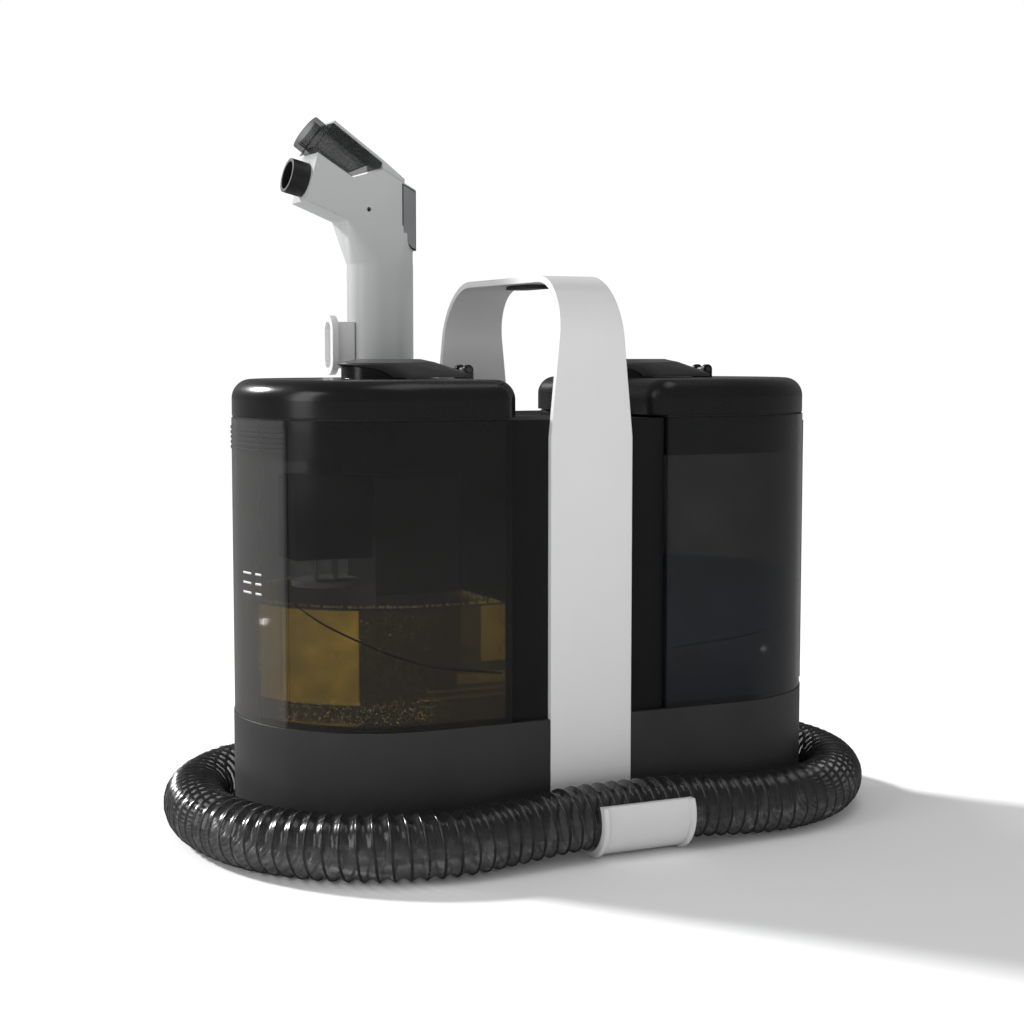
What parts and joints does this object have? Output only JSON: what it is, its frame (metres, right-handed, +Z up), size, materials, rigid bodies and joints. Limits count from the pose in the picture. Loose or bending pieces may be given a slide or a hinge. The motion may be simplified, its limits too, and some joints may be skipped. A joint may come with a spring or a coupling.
{
  "type": "carpet cleaner",
  "caption": "Portable spot carpet cleaner with lift-out dirty and clean water tanks, a carry band, a hose wrapped round the base and a docked hand tool.",
  "frame": {"origin": "middle of the base at floor level", "axes": "+X along the length towards the clean tank, -Y towards the front where the hose cradle is, +Z up"},
  "size_m": [0.4183, 0.2482, 0.4064],
  "materials": {
    "dark_plastic": "satin",
    "under_plastic": "matt",
    "foot_rubber": "matt",
    "screw_steel": "zinc plated",
    "column_plastic": "satin",
    "white_plastic": "smooth",
    "button_plastic": "soft touch",
    "motor_steel": "drawn",
    "bearing_steel": "ground",
    "rotor_steel": "laminated",
    "fan_aluminium": "pressed",
    "pump_plastic": "matt",
    "board": "lacquered",
    "seal_rubber": "matt",
    "duct_plastic": "matt",
    "hose_film": "smoked, ribbed",
    "dirty_tank_plastic": "smoked clear",
    "lid_plastic": "gloss",
    "float_plastic": "matt",
    "float_white": "smooth",
    "clean_tank_plastic": "smoked clear",
    "valve_orange": "smooth",
    "grip_plastic": "satin",
    "trigger_plastic": "satin",
    "valve_brass": "turned",
    "duct_clear": "smoked clear"
  },
  "bodies": {
    "machine": {"base_shell": "dark_plastic", "base_plate": "under_plastic", "feet": "foot_rubber", "base_screws": "screw_steel", "column_front": "column_plastic", "column_back": "column_plastic", "column_screws": "screw_steel", "carry_band": "white_plastic", "hose_cradle": "white_plastic", "motor_can": "motor_steel", "motor_bearings": "bearing_steel", "fan_housing": "fan_aluminium", "water_pump": "pump_plastic", "pump_outlet": "pump_plastic", "control_board": "board", "cord_gland": "seal_rubber", "duct_seal": "seal_rubber", "suction_elbow": "duct_plastic", "hose_port": "under_plastic", "window_seal": "seal_rubber", "valve_seat": "under_plastic", "dock_bracket": "column_plastic", "dock_screws": "screw_steel", "hose": "hose_film"},
    "button": {"power_button": "button_plastic"},
    "rotor": {"motor_rotor": "rotor_steel", "fan_wheel": "fan_aluminium"},
    "dirty_tank_body": {"dirty_tank": "dirty_tank_plastic", "standpipe": "duct_plastic"},
    "dirty_lid_body": {"dirty_lid": "lid_plastic", "dirty_lid_seal": "seal_rubber", "dirty_cap_pin": "bearing_steel", "float_housing": "float_plastic"},
    "dirty_cap_body": {"dirty_cap": "lid_plastic", "dirty_cap_seal": "seal_rubber"},
    "float_body": {"float_valve": "float_white"},
    "clean_tank_body": {"clean_tank": "clean_tank_plastic", "valve_body": "float_white"},
    "valve_plunger_body": {"valve_plunger": "valve_orange"},
    "clean_lid_body": {"clean_lid": "lid_plastic", "clean_lid_seal": "seal_rubber", "clean_cap_pin": "bearing_steel"},
    "clean_cap_body": {"clean_cap": "lid_plastic", "clean_cap_seal": "seal_rubber"},
    "hand_tool": {"grip_shell_front": "grip_plastic", "grip_shell_back": "grip_plastic", "hose_cuff": "seal_rubber", "side_boss": "white_plastic", "tool_valve": "valve_brass", "tool_spigot": "button_plastic", "tool_screws": "screw_steel"},
    "trigger": {"tool_trigger": "trigger_plastic"},
    "nozzle_duct": {"clear_duct": "duct_clear"}
  },
  "joints": [
    {"name": "power_press", "type": "slide", "parent": "machine", "child": "button", "axis": [0, 0, -1], "range_m": [0, 0.0015], "stiffness_N_per_m": 800, "springref_m": -0.0004},
    {"name": "fan_spin", "type": "hinge", "parent": "machine", "child": "rotor", "pos_m": [0, 0, 0.1], "axis": [0, 0, 1], "continuous": true},
    {"name": "dirty_tank_lift", "type": "slide", "parent": "machine", "child": "dirty_tank_body", "axis": [0, 0, 1], "range_m": [0, 0.24]},
    {"name": "dirty_lid_lift", "type": "slide", "parent": "dirty_tank_body", "child": "dirty_lid_body", "axis": [0, 0, 1], "range_m": [0, 0.1]},
    {"name": "dirty_cap_hinge", "type": "hinge", "parent": "dirty_lid_body", "child": "dirty_cap_body", "pos_m": [-0.04, 0, 0.2566], "axis": [0, 1, 0], "range_deg": [0, 95]},
    {"name": "float_rise", "type": "slide", "parent": "dirty_lid_body", "child": "float_body", "axis": [0, 0, 1], "range_m": [0, 0.011]},
    {"name": "clean_tank_lift", "type": "slide", "parent": "machine", "child": "clean_tank_body", "axis": [0, 0, 1], "range_m": [0, 0.24]},
    {"name": "tank_valve", "type": "slide", "parent": "clean_tank_body", "child": "valve_plunger_body", "axis": [0, 0, 1], "range_m": [0, 0.004], "stiffness_N_per_m": 120, "springref_m": -0.002},
    {"name": "clean_lid_lift", "type": "slide", "parent": "clean_tank_body", "child": "clean_lid_body", "axis": [0, 0, 1], "range_m": [0, 0.1]},
    {"name": "clean_cap_hinge", "type": "hinge", "parent": "clean_lid_body", "child": "clean_cap_body", "pos_m": [0.116, 0, 0.2566], "axis": [0, 1, 0], "range_deg": [0, 95]},
    {"name": "tool_out", "type": "slide", "parent": "machine", "child": "hand_tool", "axis": [0, 1, 0], "range_m": [0, 0.08]},
    {"name": "trigger_press", "type": "hinge", "parent": "hand_tool", "child": "trigger", "pos_m": [-0.037, 0.104, 0.3335], "axis": [0, -1, 0], "range_deg": [0, 6], "stiffness_Nm_per_rad": 0.6, "springref_deg": -5.73},
    {"name": "duct_off", "type": "slide", "parent": "hand_tool", "child": "nozzle_duct", "axis": [-0.8291, 0, 0.5591], "range_m": [0, 0.06]}
  ]
}
